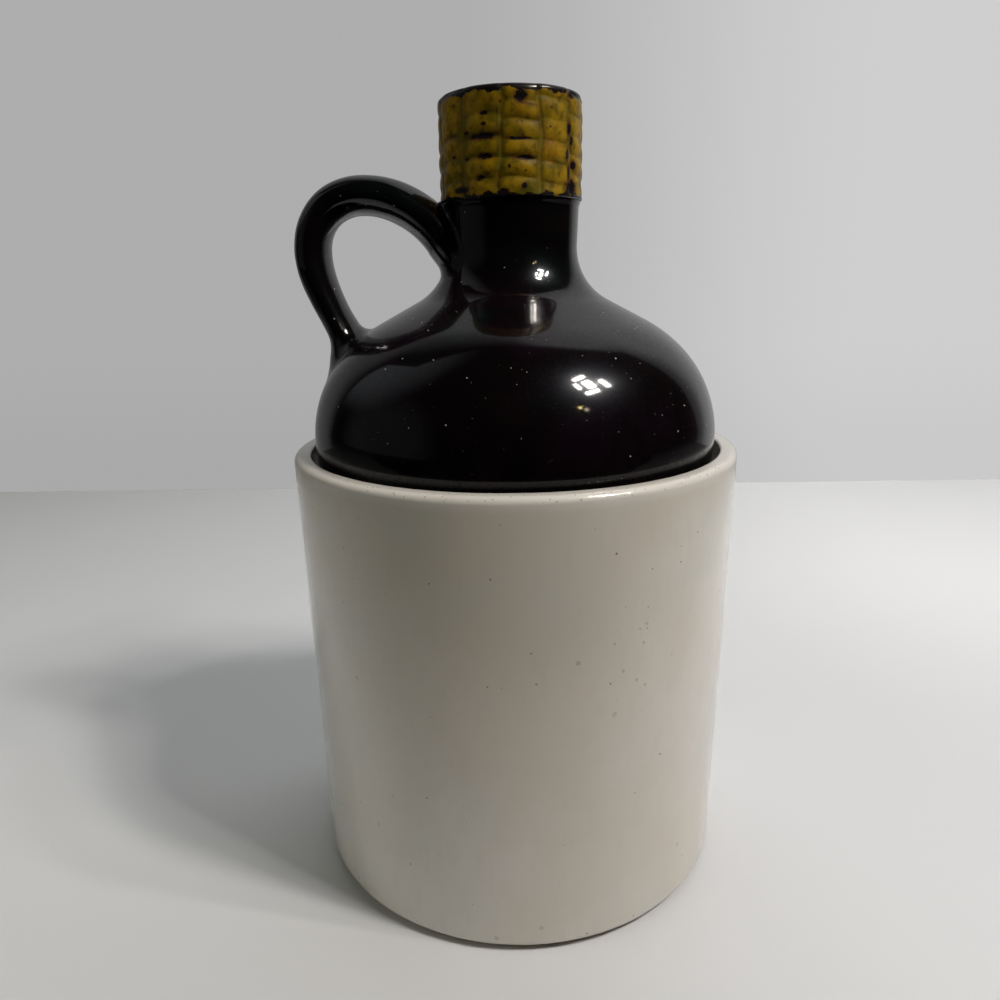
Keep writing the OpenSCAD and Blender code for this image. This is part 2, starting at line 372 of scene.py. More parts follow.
def start_material(name):
    """A new material, with its shader, and the place on the piece with its X, Y and Z."""
    material = bpy.data.materials.new(name)
    material.use_nodes = True
    tree = material.node_tree
    tree.nodes.clear()
    shader = node(tree, "BsdfPrincipled")
    node(tree, "OutputMaterial", {"Surface": shader.outputs[0]})
    place = node(tree, "TexCoord").outputs["Object"]
    parts = node(tree, "SeparateXYZ", {0: place}).outputs
    return material, shader, place, parts


def shifted(place, offset):
    """The same place, moved, so that a second pattern of one kind doesn't repeat the first."""
    return node(place.id_data, "VectorMath", {0: place, 1: offset}, operation="ADD").outputs[0]


def distance_to(place, point):
    """How far the place is from a point."""
    sockets = {0: place, 1: point}
    return node(place.id_data, "VectorMath", sockets, operation="DISTANCE").outputs["Value"]


def set_gloss(shader, body_level, coat_roughness, coat_ior):
    """Sets how much the glaze's body shines and how clear the coat over it is."""
    body_ior = 1.5
    shader.inputs["IOR"].default_value = body_ior
    shader.inputs["Specular IOR Level"].default_value = body_level
    shader.inputs["Coat Roughness"].default_value = coat_roughness
    shader.inputs["Coat IOR"].default_value = coat_ior


def connect(shader, colour, roughness, coat, height):
    """Feeds the shader. The height is in metres."""
    tree = shader.id_data
    bump = node(tree, "Bump", {"Height": height, "Distance": 1.0, "Strength": 1.0})
    tree.links.new(colour, shader.inputs["Base Color"])
    tree.links.new(roughness, shader.inputs["Roughness"])
    tree.links.new(coat, shader.inputs["Coat Weight"])
    tree.links.new(bump.outputs[0], shader.inputs["Normal"])


# The clay under all three glazes, where it is left bare
clay_buff = (0.46, 0.36, 0.25, 1)
clay_dark = (0.30, 0.21, 0.13, 1)


def bare_below(place, up, line_z, colour, size):
    """Bares the clay below a ragged line. Gives the mask, the colour and the bare clay's height."""
    bare = ragged(place, value=minus(line_z, up), size=size, depth=0.0003, soft=0.0001)
    clay = lay_over(mottle(place, size=0.004, low=0.35, high=0.7), clay_buff, clay_dark)
    grit = specks(place, spacing=0.0022, share=0.7, radius=0.0003)
    clay = lay_over(grit, clay, clay_dark, strength=0.6)
    clay_height = grain(place, size=0.0007, depth=0.00012)
    return bare, lay_over(bare, colour, clay), times(clay_height, bare)


def make_white_glaze():
    """Clear glaze over off-white clay, with iron specks, pinholes, faint tints and a darker warm patch on
    its front that is a painted reflection of the dark room.
    """
    glaze_pale = (0.65, 0.622, 0.568, 1)
    glaze_thin = (0.56, 0.53, 0.47, 1)
    # This warm colour serves both the glaze's random warm mottle and the painted reflection of the room
    warm_tone_and_reflection_colour = (0.605, 0.555, 0.465, 1)
    glaze_green = (0.585, 0.60, 0.54, 1)
    glaze_lip = (0.76, 0.755, 0.735, 1)
    iron = (0.085, 0.062, 0.045, 1)
    pit_green = (0.27, 0.29, 0.21, 1)
    glaze_line = 0.0021
    lip_from_z = crock_h - 0.0055
    lip_full_z = crock_h - 0.0012
    rim_from_z = crock_h - 0.0026
    rim_full_z = crock_h - 0.0006
    pit_place = (0.036, -0.075, 0.103)
    room_reflection_place = (-0.012, -0.082, 0.115)
    pit_from = 0.6
    pit_depth = 0.00012
    rim_speck_strength = 0.7
    streak_draw = (1.0, 1.0, 0.35)
    streak_height = 0.000012

    material, shader, place, parts = start_material("white_glaze")
    tree = material.node_tree
    up = parts["Z"]
    # A darker warm patch round this place on the front is a painted reflection of the dark room, laid on
    # with the glaze's warm mottle
    painted_room_reflection = smooth_step(distance_to(place, room_reflection_place), low=0.075, high=0.03)
    warm_tone_and_room_reflection = most(mottle(place, size=0.05, low=0.38, high=0.66), painted_room_reflection)
    colour = lay_over(warm_tone_and_room_reflection, glaze_pale, warm_tone_and_reflection_colour, strength=0.65)
    green_place = shifted(place, (0.4, 0.1, 0.7))
    green = mottle(green_place, size=0.03, low=0.5, high=0.72)
    colour = lay_over(green, colour, glaze_green, strength=0.5)
    drawn_out = node(tree, "VectorMath", {0: place, 1: streak_draw}, operation="MULTIPLY").outputs[0]
    streaks = mottle(drawn_out, size=0.0035, low=0.45, high=0.75)
    colour = lay_over(streaks, colour, glaze_thin, strength=0.22)
    lip = smooth_step(up, lip_from_z, lip_full_z)
    colour = lay_over(lip, colour, glaze_lip, strength=0.6)

    pepper = specks(place, spacing=0.006, share=0.5, radius=0.0005)
    fine_place = shifted(place, (0.2, 0.5, 0.3))
    fine_pepper = specks(fine_place, spacing=0.004, share=0.5, radius=0.00026)
    near_pits = smooth_step(distance_to(place, pit_place), low=0.024, high=0.006)
    pit_share = between(near_pits, at_none=0.02, at_full=0.55)
    pits = specks(shifted(place, (0.3, 0.3, 0.1)), spacing=0.0038, share=pit_share, radius=0.0013)
    pits = ragged(place, value=minus(pits, pit_from), size=0.0011, depth=0.5, soft=0.3)
    near_rim = smooth_step(up, rim_from_z, rim_full_z)
    rim_share = between(near_rim, at_none=0.0, at_full=0.85)
    rim_place = shifted(place, (0.1, 0.8, 0.6))
    rim_specks = specks(rim_place, spacing=0.0014, share=rim_share, radius=0.0004)
    iron_mask = most(most(pepper, fine_pepper), times(rim_specks, rim_speck_strength))
    colour = lay_over(pits, colour, pit_green, strength=0.36)
    colour = lay_over(iron_mask, colour, iron, strength=0.8)

    bare, colour, clay_height = bare_below(place, up, glaze_line, colour, size=0.006)
    height = grain(place, size=0.0016, depth=0.000006)
    height = minus(height, times(pits, pit_depth))
    height = plus(height, clay_height)
    height = plus(height, times(streaks, streak_height))
    roughness = between(bare, at_none=0.42, at_full=0.88)
    set_gloss(shader, body_level=0.35, coat_roughness=0.06, coat_ior=1.5)
    connect(shader, colour, roughness, inverse(bare), height)
    return material


crock.data.materials.append(make_white_glaze())
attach(crock, "crock")
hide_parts("crock")


# The lid
# The jug's shoulder, neck and collar, cast in one hollow shell and dipped in a brown-black
# glaze. A flange under its seat centres it in the crock, and only the flange's edge is bare.
lid_low, lid_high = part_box("lid")
lid_r = lid_high.x
collar_z = lid_high.z
flange_z = lid_low.z
lid_wall = 0.005
belt_rise = 0.004
seat_inset = 0.0012
flange_gap = 0.0008
flange_wall = 0.005
flange_root_r = 0.004
flank_r = 0.0445
shoulder_r = 0.0555
flank_turn = 46
slope_turn = 62
neck_r = 0.0234
neck_sweep_r = 0.021
collar_r = 0.0245
collar_lip_h = 0.0006
collar_slope_h = 0.0013
neck_flare = 0.0006
flange_edge_r = 0.0014
seat_edge_r = 0.0009
collar_soft_r = 0.002
neck_soft_r = 0.003
bore_edge_r = 0.001
glaze_wave = 0.019
glaze_wave_depth = 0.00013
fine_wave = 0.007
fine_wave_depth = 0.00002

belt_z = crock_h + belt_rise
seat_r = lid_r - seat_inset
flange_r = gallery_r - flange_gap
flank_x = lid_r - flank_r
shoulder_x = flank_x + (flank_r - shoulder_r) * math.cos(math.radians(flank_turn))
shoulder_z = belt_z + (flank_r - shoulder_r) * math.sin(math.radians(flank_turn))
slope_x = shoulder_x + shoulder_r * math.cos(math.radians(slope_turn))
slope_z = shoulder_z + shoulder_r * math.sin(math.radians(slope_turn))
sweep_x = neck_r + neck_sweep_r
sweep_in_x = neck_r + neck_sweep_r * (1 - math.cos(math.radians(slope_turn)))
sweep_in_z = slope_z + (slope_x - sweep_in_x) / math.tan(math.radians(slope_turn))
sweep_z = sweep_in_z + neck_sweep_r * math.sin(math.radians(slope_turn))
collar_edge_z = collar_z - collar_lip_h
collar_base_z = collar_edge_z - collar_slope_h
bore_r = neck_r - lid_wall


def shell_curve(depth):
    """The lid's curve from its widest ring to the foot of its neck, moved in by a depth."""
    return (
        arc(flank_x, belt_z, flank_r - depth, 0, flank_turn, steps=24)
        + arc(shoulder_x, shoulder_z, shoulder_r - depth, flank_turn, slope_turn, steps=10)[1:]
        + arc(sweep_x, sweep_z, neck_sweep_r + depth, 180 + slope_turn, 180, steps=20)
    )


def lid_push(angle, radius, height):
    """The glaze ran a little unevenly over the shell."""
    run = ripple(angle, radius, height, glaze_wave, glaze_wave_depth)
    return run + ripple(angle, radius, height, fine_wave, fine_wave_depth)


lid_corners = (
    [(flange_r - flange_wall, flange_z, flange_edge_r)]
    + [(flange_r, flange_z, flange_edge_r)]
    + [(flange_r, ledge_z, seat_edge_r / 2)]
    + [(seat_r, ledge_z, seat_edge_r)]
    + shell_curve(0)
    + [(neck_r + neck_flare, collar_base_z, neck_soft_r)]
    + [(collar_r, collar_edge_z, collar_soft_r)]
    + [(collar_r, collar_z, collar_lip_h / 3)]
    + [(bore_r, collar_z, bore_edge_r)]
    + shell_curve(lid_wall)[::-1]
    + [(flange_r - flange_wall, ledge_z, flange_root_r)]
)
lid_outline = subdivide(soften(lid_corners), longest=0.002, closed=True)
lid = lathe("lid_shell", lid_outline, sides=240, push=lid_push, closed=True)


def make_black_glaze():
    """Brown-black glaze, plum and green where it is thin, with a haze and a little dust."""
    glaze_black = (0.0022, 0.0014, 0.0016, 1)
    glaze_plum = (0.0058, 0.0022, 0.0052, 1)
    glaze_green = (0.0012, 0.0040, 0.0034, 1)
    glaze_brown = (0.0130, 0.0050, 0.0018, 1)
    dust_grey = (0.50, 0.48, 0.45, 1)
    haze_blue = (0.72, 0.83, 1.0, 1)
    bare_line = flange_z + 0.0016
    rub_from_z = crock_h + 0.005
    rub_full_z = crock_h + 0.0005
    fine_dust_strength = 0.5
    dust_dulling = 0.9
    dull_roughness = 0.85

    material, shader, place, parts = start_material("black_glaze")
    up = parts["Z"]
    plum = mottle(place, size=0.028, low=0.42, high=0.68)
    colour = lay_over(plum, glaze_black, glaze_plum, strength=0.8)
    green_place = shifted(place, (0.6, 0.2, 0.9))
    green = mottle(green_place, size=0.03, low=0.52, high=0.7)
    colour = lay_over(green, colour, glaze_green, strength=0.7)
    brown_place = shifted(place, (0.1, 0.7, 0.2))
    brown = mottle(brown_place, size=0.016, low=0.55, high=0.8)
    colour = lay_over(brown, colour, glaze_brown, strength=0.3)

    dust_place = shifted(place, (0.9, 0.4, 0.1))
    dust = specks(dust_place, spacing=0.0034, share=0.55, radius=0.00034)
    fine_place = shifted(place, (0.5, 0.1, 0.3))
    fine_dust = specks(fine_place, spacing=0.0022, share=0.6, radius=0.00017)
    dust = most(dust, times(fine_dust, fine_dust_strength))
    colour = lay_over(dust, colour, dust_grey, strength=0.9)
    bare, colour, clay_height = bare_below(place, up, bare_line, colour, size=0.005)

    # The gloss is broken by the dust and a faint speckle, and dull where the crock's rim rubs it
    dull = most(bare, times(dust, dust_dulling))
    speckle = mottle(green_place, size=0.0009, low=0.42, high=0.6)
    rubbed = smooth_step(up, rub_from_z, rub_full_z)
    shine = between(speckle, at_none=0.82, at_full=1.0)
    shine = times(shine, between(rubbed, at_none=1.0, at_full=0.4))
    glazed = times(inverse(dull), shine)
    height = plus(grain(place, size=0.0009, depth=0.000012), clay_height)
    film_place = shifted(place, (0.8, 0.3, 0.5))
    film = specks(film_place, spacing=0.0009, share=0.6, radius=0.0004)
    roughness = between(film, at_none=0.26, at_full=0.44)
    roughness = most(roughness, times(dull, dull_roughness))
    set_gloss(shader, body_level=0.08, coat_roughness=0.075, coat_ior=1.55)
    shader.inputs["Specular Tint"].default_value = haze_blue
    connect(shader, colour, roughness, glazed, height)
    return material


black_glaze = make_black_glaze()
lid.data.materials.append(black_glaze)
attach(lid, "lid")
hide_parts("lid")


# The handle
# A pulled strap of clay, bent into a loop and luted to the neck and the shoulder. The slip
# and the glaze fill both joints with a soft hollow, so it grows out of the shell.
foot_inset = 0.0145
handle_bulge = 0.012
bulge_rise = 0.0335
root_drop = 0.0125
root_angle = 53.5
root_pull = 0.029
crown_pull = 0.0235
side_pull = 0.0125
foot_pull = 0.008
foot_angle = 69
root_t = 0.0156
crown_t = 0.0127
side_t = 0.0102
foot_t = 0.014
handle_w = 0.021
root_w = 0.029
joint_w = 0.025
foot_spread_share = 0.45
root_spread_share = 0.5
root_fillet_r = 0.0025
root_top_fillet_r = 0.0006
root_side_fillet_r = 0.0035
foot_out_fillet_r = 0.0095
foot_in_fillet_r = 0.005
foot_side_fillet_r = 0.005
joint_sink = 0.0004
joint_core_depth = 0.0022
fillet_reach_share = 1.12
handle_sides = 72
handle_rings = 110
fillet_steps = 9
line_steps = 200
search_steps = 40
search_past_joint = 0.03
dent_size = 0.012
dent_depth = 0.0003
fine_dent_size = 0.005
fine_dent_depth = 0.00006
dent_fade_rings = 30

# The lid's skin, and above it the way that the cob needs past the handle
cob_r = 0.0251
cob_gap = 0.0004
cob_way_h = 0.03
cob_way_from_z = collar_z + 0.00001
lid_skin = np.array(soften(
    [(seat_r, ledge_z, 0)]
    + shell_curve(0)
    + [(neck_r + neck_flare, collar_base_z, neck_soft_r)]
    + [(collar_r, collar_edge_z, 0), (collar_r, collar_z, 0)]
    + [(cob_r + cob_gap, cob_way_from_z, 0), (cob_r + cob_gap, collar_z + cob_way_h, 0)]
))


def lid_gap(points):
    """Distance of each point from the lid's skin, less than zero inside it."""
    flat = np.stack([np.hypot(points[:, 0], points[:, 1]), points[:, 2]], axis=1)
    start = lid_skin[:-1]
    span = lid_skin[1:] - start
    along = ((flat[:, None] - start) * span).sum(2) / np.maximum((span ** 2).sum(1), 1e-12)
    nearest = start + np.clip(along, 0, 1)[..., None] * span
    distance = np.linalg.norm(flat[:, None] - nearest, axis=2).min(1)
    inside = flat[:, 0] < np.interp(flat[:, 1], lid_skin[:, 1], lid_skin[:, 0])
    return np.where(inside, -distance, distance)


def direction(degrees):
    """A unit step at an angle up from level, as (outwards, up)."""
    return np.array([math.cos(math.radians(degrees)), math.sin(math.radians(degrees))])


foot_r = lid_r - foot_inset
foot_z = shoulder_z + math.sqrt(shoulder_r ** 2 - (foot_r - shoulder_x) ** 2)
if foot_r > flank_x + flank_r * math.cos(math.radians(flank_turn)):
    foot_z = belt_z + math.sqrt(flank_r ** 2 - (foot_r - flank_x) ** 2)
handle_foot = np.array([foot_r, foot_z])
handle_side = handle_foot + (handle_bulge, bulge_rise)
handle_root = np.array([neck_r, collar_z - root_drop])
upper_run = np.array([
    handle_root,
    handle_root + root_pull * direction(root_angle),
    handle_side + (0, crown_pull),
    handle_side,
])
lower_run = np.array([
    handle_side,
    handle_side - (0, side_pull),
    handle_foot + foot_pull * direction(foot_angle),
    handle_foot,
])


def run_point(run, t):
    """Place and unit direction on one half of the handle's line."""
    weights = np.stack([(1 - t) ** 3, 3 * t * (1 - t) ** 2, 3 * t ** 2 * (1 - t), t ** 3], axis=-1)
    slopes = np.stack([(1 - t) ** 2, 2 * t * (1 - t), t ** 2], axis=-1)
    way = slopes @ np.diff(run, axis=0)
    return weights @ run, way / np.linalg.norm(way, axis=-1, keepdims=True)


# The handle's line from its root to its foot, with its direction and its section on the way
line_t = np.linspace(0, 1, line_steps)
upper_at, upper_way = run_point(upper_run, line_t)
lower_at, lower_way = run_point(lower_run, line_t[1:])
line_at = np.vstack([upper_at, lower_at])
line_way = np.vstack([upper_way, lower_way])
line_len = np.concatenate([[0], np.cumsum(np.linalg.norm(np.diff(line_at, axis=0), axis=1))])
root_spread = np.maximum(0, 1 - line_t / root_spread_share) ** 2
foot_spread = np.maximum(0, 1 - (1 - line_t[1:]) / foot_spread_share) ** 2
line_thick = np.concatenate([
    root_t + (crown_t - root_t) * np.sqrt(line_t),
    crown_t + (side_t - crown_t) * line_t[1:] + (foot_t - side_t) * foot_spread,
])
line_wide = handle_w + np.concatenate([
    (root_w - handle_w) * root_spread,
    (joint_w - handle_w) * foot_spread,
])


def handle_points(length, angle, grow):
    """Points on the handle's skin, at a length along its line and an angle round it."""
    inside = np.clip(length, 0, line_len[-1])
    columns = (*line_at.T, *line_way.T, line_thick, line_wide)
    out, up, way_out, way_up, thick, wide = [np.interp(inside, line_len, column) for column in columns]
    out = out + way_out * (length - inside)
    up = up + way_up * (length - inside)
    side = (thick / 2 + grow) * np.cos(angle)
    lean = (wide / 2 + grow) * np.sin(angle)
    return np.stack([-(out - way_up * side), lean, up + way_out * side], axis=-1)


def length_at_gap(angle, grow, gap, near, far):
    """How far along its line the skin is at a distance from the lid, found between two lengths."""
    low = np.full(angle.shape, near)
    high = np.full(angle.shape, far)
    for _ in range(search_steps):
        middle = (low + high) / 2
        outside = lid_gap(handle_points(middle, angle, grow)) > gap
        low = np.where(outside, middle, low)
        high = np.where(outside, high, middle)
    return (low + high) / 2


def handle_joint(angle, fillet_r, near, far):
    """Rings of (length, growth) that run from the loop down its joint and into the shell's wall.

    The fillet's radius is given for each angle round the handle.
    """
    rings = []
    for k in range(fillet_steps + 1):
        turn = math.pi / 2 * k / fillet_steps
        grow = fillet_r * (1 - math.cos(turn))
        gap = fillet_r * (1 - math.sin(turn))
        rings.append((length_at_gap(angle, grow, gap, near, far), grow))
    for grow, gap in ((fillet_r * fillet_reach_share, -joint_sink), (0.0, -joint_core_depth)):
        rings.append((length_at_gap(angle, grow, gap, near, far), grow))
    return rings


def clear_cob(points):
    """Moves what reaches over the collar out of the cob's way."""
    radius = np.hypot(points[..., 0], points[..., 1])
    short = np.where(points[..., 2] > collar_z, np.maximum(cob_r + cob_gap - radius, 0), 0)
    points[..., :2] *= (1 + short / radius)[..., None]


def make_handle():
    """The closed loop: both joints, and the rings between them."""
    angle = np.linspace(0, 2 * math.pi, handle_sides, endpoint=False)
    half = line_len[-1] / 2
    underside = (1 - np.cos(angle)) / 2
    root_fillet = root_top_fillet_r + (root_fillet_r - root_top_fillet_r) * underside
    root_fillet += (root_side_fillet_r - root_fillet) * np.sin(angle) ** 2
    root = handle_joint(angle, root_fillet, half, -search_past_joint)
    foot_fillet = (
        foot_side_fillet_r
        + (foot_out_fillet_r - foot_side_fillet_r) * np.maximum(np.cos(angle), 0) ** 2
        + (foot_in_fillet_r - foot_side_fillet_r) * np.maximum(-np.cos(angle), 0) ** 2
    )
    foot = handle_joint(angle, foot_fillet, half, line_len[-1] + search_past_joint)
    root_start, foot_start = root[0][0], foot[0][0]
    loop = [
        (root_start + (foot_start - root_start) * i / handle_rings, 0.0)
        for i in range(1, handle_rings)
    ]
    rings = [handle_points(length, angle, grow) for length, grow in root[::-1] + loop + foot]
    points = np.array(rings)
    # The hands that pulled the loop left soft dents in it, which fade towards its joints
    first = len(root) - 1
    for i in range(first, len(points) - first):
        centre = points[i].mean(0)
        fade = min(1.0, min(i, len(points) - i) / dent_fade_rings)
        for j, p in enumerate(points[i]):
            dent = noise.noise(Vector(p) / dent_size) * dent_depth
            dent += noise.noise(Vector(p) / fine_dent_size) * fine_dent_depth
            points[i, j] += (p - centre) / np.linalg.norm(p - centre) * dent * fade
    clear_cob(points)
    return skin_rings("handle_loop", points, tips=[points[i].mean(0).tolist() for i in (0, -1)])


handle = make_handle()
handle.data.materials.append(black_glaze)
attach(handle, "lid")
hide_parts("handle")


# The corncob stopper
# A hollow cast corncob on a plug, painted mustard over the brown-black glaze. The paint has
# chipped in the grooves and worn off both ends, and the plug is bare clay.
cob_low, cob_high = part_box("corncob_stopper")
cob_top_z = cob_high.z
plug_z = cob_low.z
plug_gap = 0.0005
plug_wall = 0.0045
plug_edge_r = 0.0015
cob_wall = 0.005
cob_edge_r = 0.0018
cob_hem_r = 0.0007
cob_hem_h = 0.0004
hem_fade_h = 0.002
under_cob_r = 0.0004
cob_rim_h = 0.0004
cob_crown_from_r = 0.006
cob_crown_r = 0.02
cob_crown_dip = 0.0001
hollow_edge_r = 0.002
kernel_relief = 0.0009
kernel_from_r = 0.0205
kernel_fade_w = 0.003
kernel_pitch = 0.0061
kernel_columns = 12
kernel_turn = math.radians(-8)
kernel_least_swell = 0.70
kernel_swell_range = 0.30
groove_least_share = 0.25
groove_share_range = 0.75
column_relief_share = 0.5
low_kernel_share = 0.6
seam_wave = 0.0075
seam_wave_share = 0.05
fine_seam_wave = 0.0031
fine_seam_wave_share = 0.03
row_bow_share = 0.05
seam_power = 9
side_power = 4
row_power = 0.8
paint_wave = 0.006
paint_wave_depth = 0.00016
kernel_seed = 11
pitch_shares = (1, 1.05, 0.95, 1, 1.08, 0.96, 1, 1.1, 1.05, 0.93, 1.05, 1)
stagger_shares = (0, 0.4, 0.8, 0.2, 0.6, 0, 0.4, 0.16, 0.1, 0.98, 0.38, 0.8)

kernel_chance = random.Random(kernel_seed)
kernel_rows = 10
kernel_grid = [
    [kernel_chance.uniform(0, 1) for _ in range(kernel_rows)]
    for _ in range(3 * kernel_columns)
]
swell_draws, groove_draws, ripe_shares = np.split(np.array(kernel_grid), 3)
kernel_swell = kernel_least_swell + kernel_swell_range * swell_draws
groove_shares = groove_least_share + groove_share_range * groove_draws
column_pitch = kernel_pitch * np.array(pitch_shares)
column_stagger = np.array(stagger_shares)


def kernels(angle, height):
    """How deep the skin lies under the kernels' crowns, and four more shares.

    They are the row's groove, the seam between columns, the kernel's border and how ripe it is.
    """
    wander = seam_wave_share * np.sin(height / seam_wave + 3 * angle)
    wander = wander + fine_seam_wave_share * np.sin(height / fine_seam_wave + 7 * angle)
    across = (angle - kernel_turn) / (2 * math.pi) * kernel_columns + wander
    column = np.floor(across).astype(int) % kernel_columns
    off_middle = np.abs(2 * (across - np.floor(across)) - 1)
    seam = off_middle ** seam_power
    side = 1 - off_middle ** side_power
    bow = row_bow_share * np.sin(2 * math.pi * (across - np.floor(across)) + column)
    along = height / column_pitch[column] + column_stagger[column] + bow
    row = np.floor(along).astype(int) % kernel_rows
    rise = np.sin(math.pi * (along - np.floor(along))) ** row_power
    nearest_groove = np.floor(along + 0.5).astype(int) % kernel_rows
    between_rows = (1 - rise) * groove_shares[column, nearest_groove]
    groove = side * between_rows
    flat = 1 - kernel_swell[column, row]
    deep = groove + flat * rise * side * low_kernel_share + column_relief_share * (1 - side)
    border = 1 - np.sqrt(np.clip((1 - between_rows) * side, 0, 1))
    return np.clip(deep, 0, 1), np.clip(groove, 0, 1), seam, border, ripe_shares[column, row]


def cob_push(angle, radius, height):
    """Cuts the grooves between the kernels into the cob's side."""
    deep = kernels(angle, height - collar_z)[0]
    side = np.clip((radius - kernel_from_r) / kernel_fade_w, 0, 1)
    hem = np.clip((height - collar_z - cob_hem_h) / hem_fade_h, 0, 1)
    waves = ripple(angle, radius, height, paint_wave, paint_wave_depth)
    return -side * hem * (kernel_relief * deep) + side * hem * waves


plug_r = bore_r - plug_gap
plug_bore = plug_r - plug_wall
hollow_r = cob_r - kernel_relief - cob_wall
hollow_top_z = cob_top_z - cob_wall
hollow_base_z = collar_z + cob_wall
cob_outline = soften([
    (0, hollow_top_z, 0),
    (hollow_r, hollow_top_z, cob_edge_r),
    (hollow_r, hollow_base_z + hollow_r - plug_bore, hollow_edge_r),
    (plug_bore, hollow_base_z, hollow_edge_r),
    (plug_bore, plug_z, plug_edge_r / 2),
    (plug_r, plug_z, plug_edge_r),
    (plug_r, collar_z, under_cob_r),
    (cob_r, collar_z, cob_hem_r),
    (cob_r, cob_top_z - cob_rim_h, cob_edge_r),
    (cob_crown_from_r, cob_top_z, cob_crown_r),
    (0, cob_top_z - cob_crown_dip, 0),
])
kernel_part = [i for i, point in enumerate(cob_outline) if point[0] > kernel_from_r]
kernel_start, kernel_end = kernel_part[0], kernel_part[-1]
cob_outline = (
    subdivide(cob_outline[:kernel_start + 1], longest=0.002)[:-1]
    + subdivide(cob_outline[kernel_start:kernel_end + 1], longest=0.00045)
    + subdivide(cob_outline[kernel_end:], longest=0.001)[1:]
)
cob = lathe("corncob", cob_outline, sides=288, push=cob_push)


def chip_field(angle, height):
    """Where the paint is gone for sure, by listed patches: 1 in their middle, 0 away from them."""
    mm = 0.001
    # Each patch: degrees to the right of the front, height on the cob, half width, half height in mm
    patches = (
        (-20, 25.0, 1.6, 0.7), (-20, 21.8, 0.9, 0.6), (-35, 19.7, 1.0, 0.6), (-21, 18.2, 4.6, 1.2),
        (6, 17.2, 4.6, 0.5), (-20, 12.3, 2.8, 1.1), (-49, 13.0, 1.2, 0.5), (-35, 11.8, 0.9, 0.5),
        (11, 11.5, 3.4, 0.7), (-1, 8.9, 0.6, 0.6), (-24, 5.8, 1.9, 1.0), (10, 3.0, 1.1, 0.9),
        (-5, 1.4, 1.8, 1.0), (8, 29.4, 2.2, 2.2), (51, 21.2, 1.3, 2.6), (54, 17.4, 0.8, 1.5),
        (49, 13.1, 0.9, 2.0), (57, 10.4, 1.9, 1.5), (51, 7.5, 0.9, 2.4), (55, 2.9, 3.6, 3.0),
        (54, 31.3, 2.6, 1.0), (-41, 2.6, 3.4, 1.2), (-47, 28.4, 0.5, 0.4), (32, 26.6, 0.5, 0.5),
    )
    field = np.zeros(angle.shape)
    for right, up, wide, tall in patches:
        middle = math.radians(right - 90)
        off = (angle - middle + math.pi) % (2 * math.pi) - math.pi
        across = off * cob_r / (wide * mm)
        along = (height - up * mm) / (tall * mm)
        field = np.maximum(field, np.exp(-(across ** 2 + along ** 2)))
    return field


def mark_cob(piece):
    """Stores on the mesh what the paint follows: the kernels' shares and the chips."""
    flat = np.empty(len(piece.data.vertices) * 3)
    piece.data.vertices.foreach_get("co", flat)
    points = flat.reshape(-1, 3)
    angle = np.arctan2(points[:, 1], points[:, 0])
    height = points[:, 2] - collar_z
    shares = dict(zip(("groove", "seam", "border", "ripe"), kernels(angle, height)[1:]))
    for name, values in (shares | {"chip": chip_field(angle, height)}).items():
        layer = piece.data.attributes.new(name, "FLOAT", "POINT")
        layer.data.foreach_set("value", values.astype(np.float32))


mark_cob(cob)


